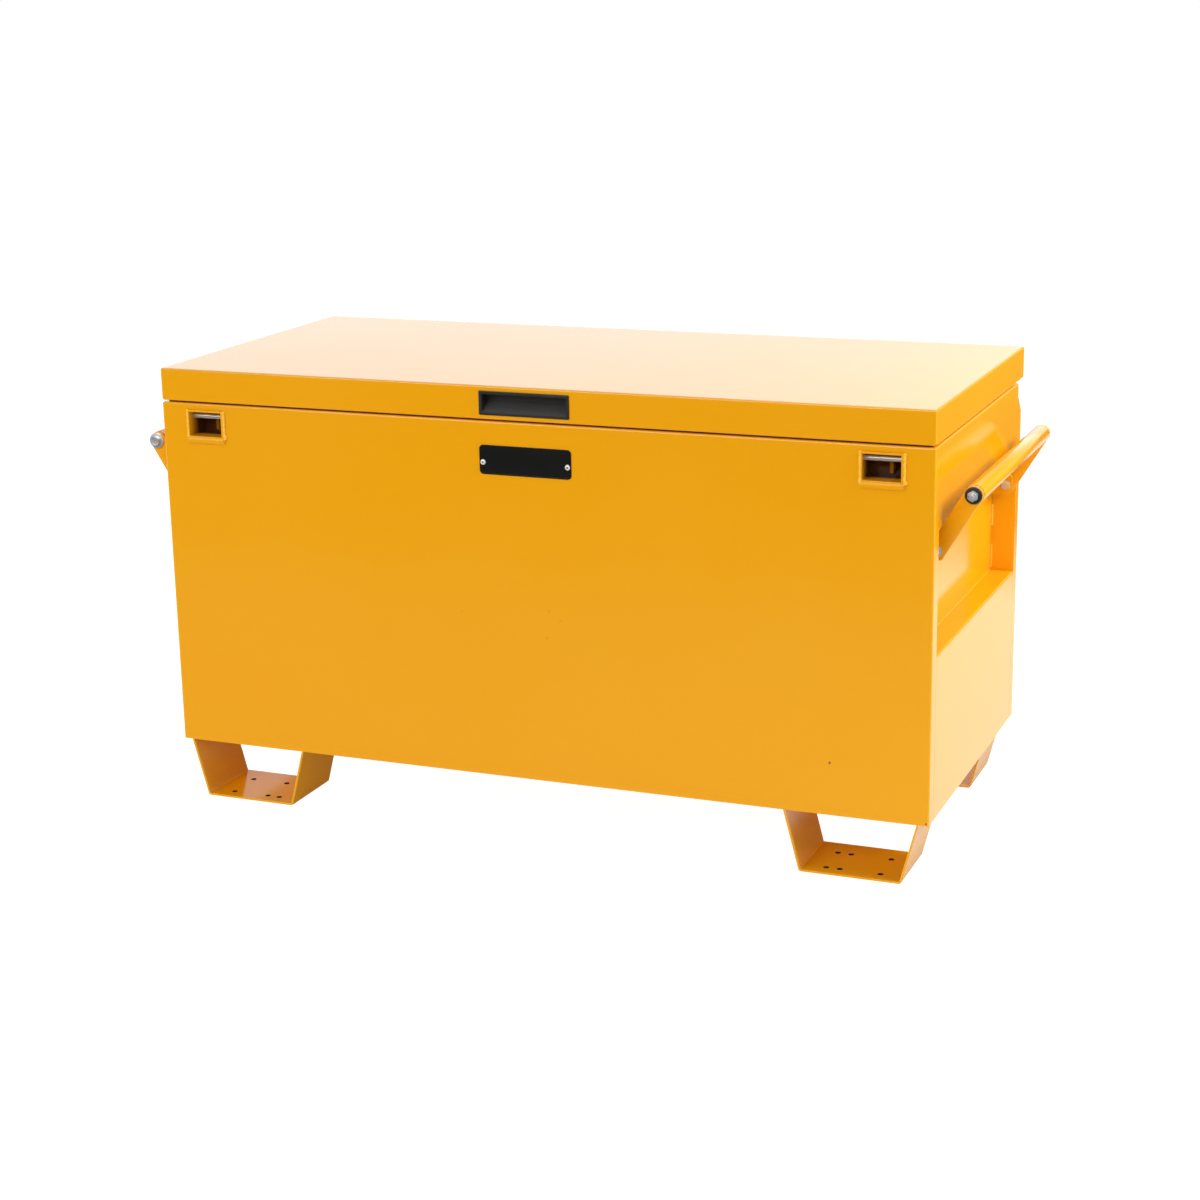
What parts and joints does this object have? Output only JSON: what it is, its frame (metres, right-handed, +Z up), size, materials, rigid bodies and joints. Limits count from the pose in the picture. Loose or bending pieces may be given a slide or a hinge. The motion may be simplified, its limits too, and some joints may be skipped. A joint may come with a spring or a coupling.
{
  "type": "jobsite storage box",
  "caption": "Sheet-steel jobsite storage box with overhanging hinged lid, recessed padlock pockets, folding side handles in recesses and castor-ready feet.",
  "frame": {"origin": "under the middle of the box, in the plane of the feet's soles", "axes": "+X along the front to the viewer's right, -Y out of the front, +Z up"},
  "size_m": [1.3104, 0.554, 0.68],
  "materials": {
    "yellow_coat": "gloss powder coat",
    "zinc_plate": "bright zinc plated",
    "black_plastic": "satin moulded",
    "black_plate": "satin black",
    "rivet_steel": "plain",
    "seal_rubber": "matte foam rubber",
    "strut_black": "gloss black",
    "rod_steel": "polished",
    "clip_steel": "plain"
  },
  "bodies": {
    "body": {"back_panel": "yellow_coat", "floor_panel": "yellow_coat", "front_left_foot": "yellow_coat", "front_panel": "yellow_coat", "front_right_foot": "yellow_coat", "hinge_body_leaves": "yellow_coat", "hinge_pins": "zinc_plate", "left_handle_brackets": "yellow_coat", "left_handle_pivot_bolts": "zinc_plate", "left_handle_pivot_nuts": "zinc_plate", "left_handle_pivot_washers": "zinc_plate", "left_lock_bar": "zinc_plate", "left_lock_box": "yellow_coat", "left_recess_ends": "yellow_coat", "left_side_panel": "yellow_coat", "name_plate": "black_plate", "name_plate_rivets": "rivet_steel", "rear_left_foot": "yellow_coat", "rear_right_foot": "yellow_coat", "right_handle_brackets": "yellow_coat", "right_handle_pivot_bolts": "zinc_plate", "right_handle_pivot_nuts": "zinc_plate", "right_handle_pivot_washers": "zinc_plate", "right_lock_bar": "zinc_plate", "right_lock_box": "yellow_coat", "right_recess_ends": "yellow_coat", "right_side_panel": "yellow_coat", "rim_seal": "seal_rubber", "strut_body_brackets": "yellow_coat", "strut_stud_clips": "clip_steel"},
    "lid": {"lid_shell": "yellow_coat", "lid_rear_rail": "yellow_coat", "lid_rib_left": "yellow_coat", "lid_rib_middle": "yellow_coat", "lid_rib_right": "yellow_coat", "pull_handle": "black_plastic", "left_lock_tongue": "yellow_coat", "right_lock_tongue": "yellow_coat", "hinge_lid_leaves": "yellow_coat", "strut_lid_brackets": "yellow_coat"},
    "left_handle": {"left_grip_tube": "yellow_coat", "left_grip_plugs": "black_plastic", "left_grip_black_washer": "black_plastic", "left_grip_zinc_washer": "zinc_plate", "left_grip_nut": "zinc_plate", "left_grip_bolt": "zinc_plate", "left_front_arm": "yellow_coat", "left_rear_arm": "yellow_coat"},
    "left_strut_cylinder": {"left_strut_cylinder": "strut_black"},
    "left_strut_rod": {"left_strut_rod": "rod_steel"},
    "right_handle": {"right_grip_tube": "yellow_coat", "right_grip_plugs": "black_plastic", "right_grip_black_washer": "black_plastic", "right_grip_zinc_washer": "zinc_plate", "right_grip_nut": "zinc_plate", "right_grip_bolt": "zinc_plate", "right_front_arm": "yellow_coat", "right_rear_arm": "yellow_coat"},
    "right_strut_cylinder": {"right_strut_cylinder": "strut_black"},
    "right_strut_rod": {"right_strut_rod": "rod_steel"}
  },
  "joints": [
    {"name": "lid_hinge", "type": "hinge", "parent": "body", "child": "lid", "pos_m": [0, 0.25, 0.628], "axis": [-1, 0, 0], "range_deg": [0, 90], "stiffness_Nm_per_rad": 12, "springref_deg": 137.51},
    {"name": "left_strut_swing", "type": "hinge", "parent": "body", "child": "left_strut_cylinder", "pos_m": [-0.548, 0.066, 0.444], "axis": [-1, 0, 0], "range_deg": [0, 12.4]},
    {"name": "left_strut_stroke", "type": "slide", "parent": "left_strut_cylinder", "child": "left_strut_rod", "axis": [0, 0.4243, 0.9055], "range_m": [0, 0.113]},
    {"name": "left_handle_fold", "type": "hinge", "parent": "body", "child": "left_handle", "pos_m": [-0.592, -0.0035, 0.476], "axis": [0, -1, 0], "range_deg": [0, 148]},
    {"name": "right_strut_swing", "type": "hinge", "parent": "body", "child": "right_strut_cylinder", "pos_m": [0.548, 0.066, 0.444], "axis": [-1, 0, 0], "range_deg": [0, 12.4]},
    {"name": "right_strut_stroke", "type": "slide", "parent": "right_strut_cylinder", "child": "right_strut_rod", "axis": [0, 0.4243, 0.9055], "range_m": [0, 0.113]},
    {"name": "right_handle_fold", "type": "hinge", "parent": "body", "child": "right_handle", "pos_m": [0.592, -0.0035, 0.476], "axis": [0, 1, 0], "range_deg": [0, 148]}
  ],
  "couplings": [
    {"joint": "left_strut_swing", "follows": "lid_hinge", "ratio": 0.13629},
    {"joint": "left_strut_stroke", "follows": "lid_hinge", "m_per_rad": 0.071564},
    {"joint": "right_strut_swing", "follows": "lid_hinge", "ratio": 0.13629},
    {"joint": "right_strut_stroke", "follows": "lid_hinge", "m_per_rad": 0.071564}
  ]
}
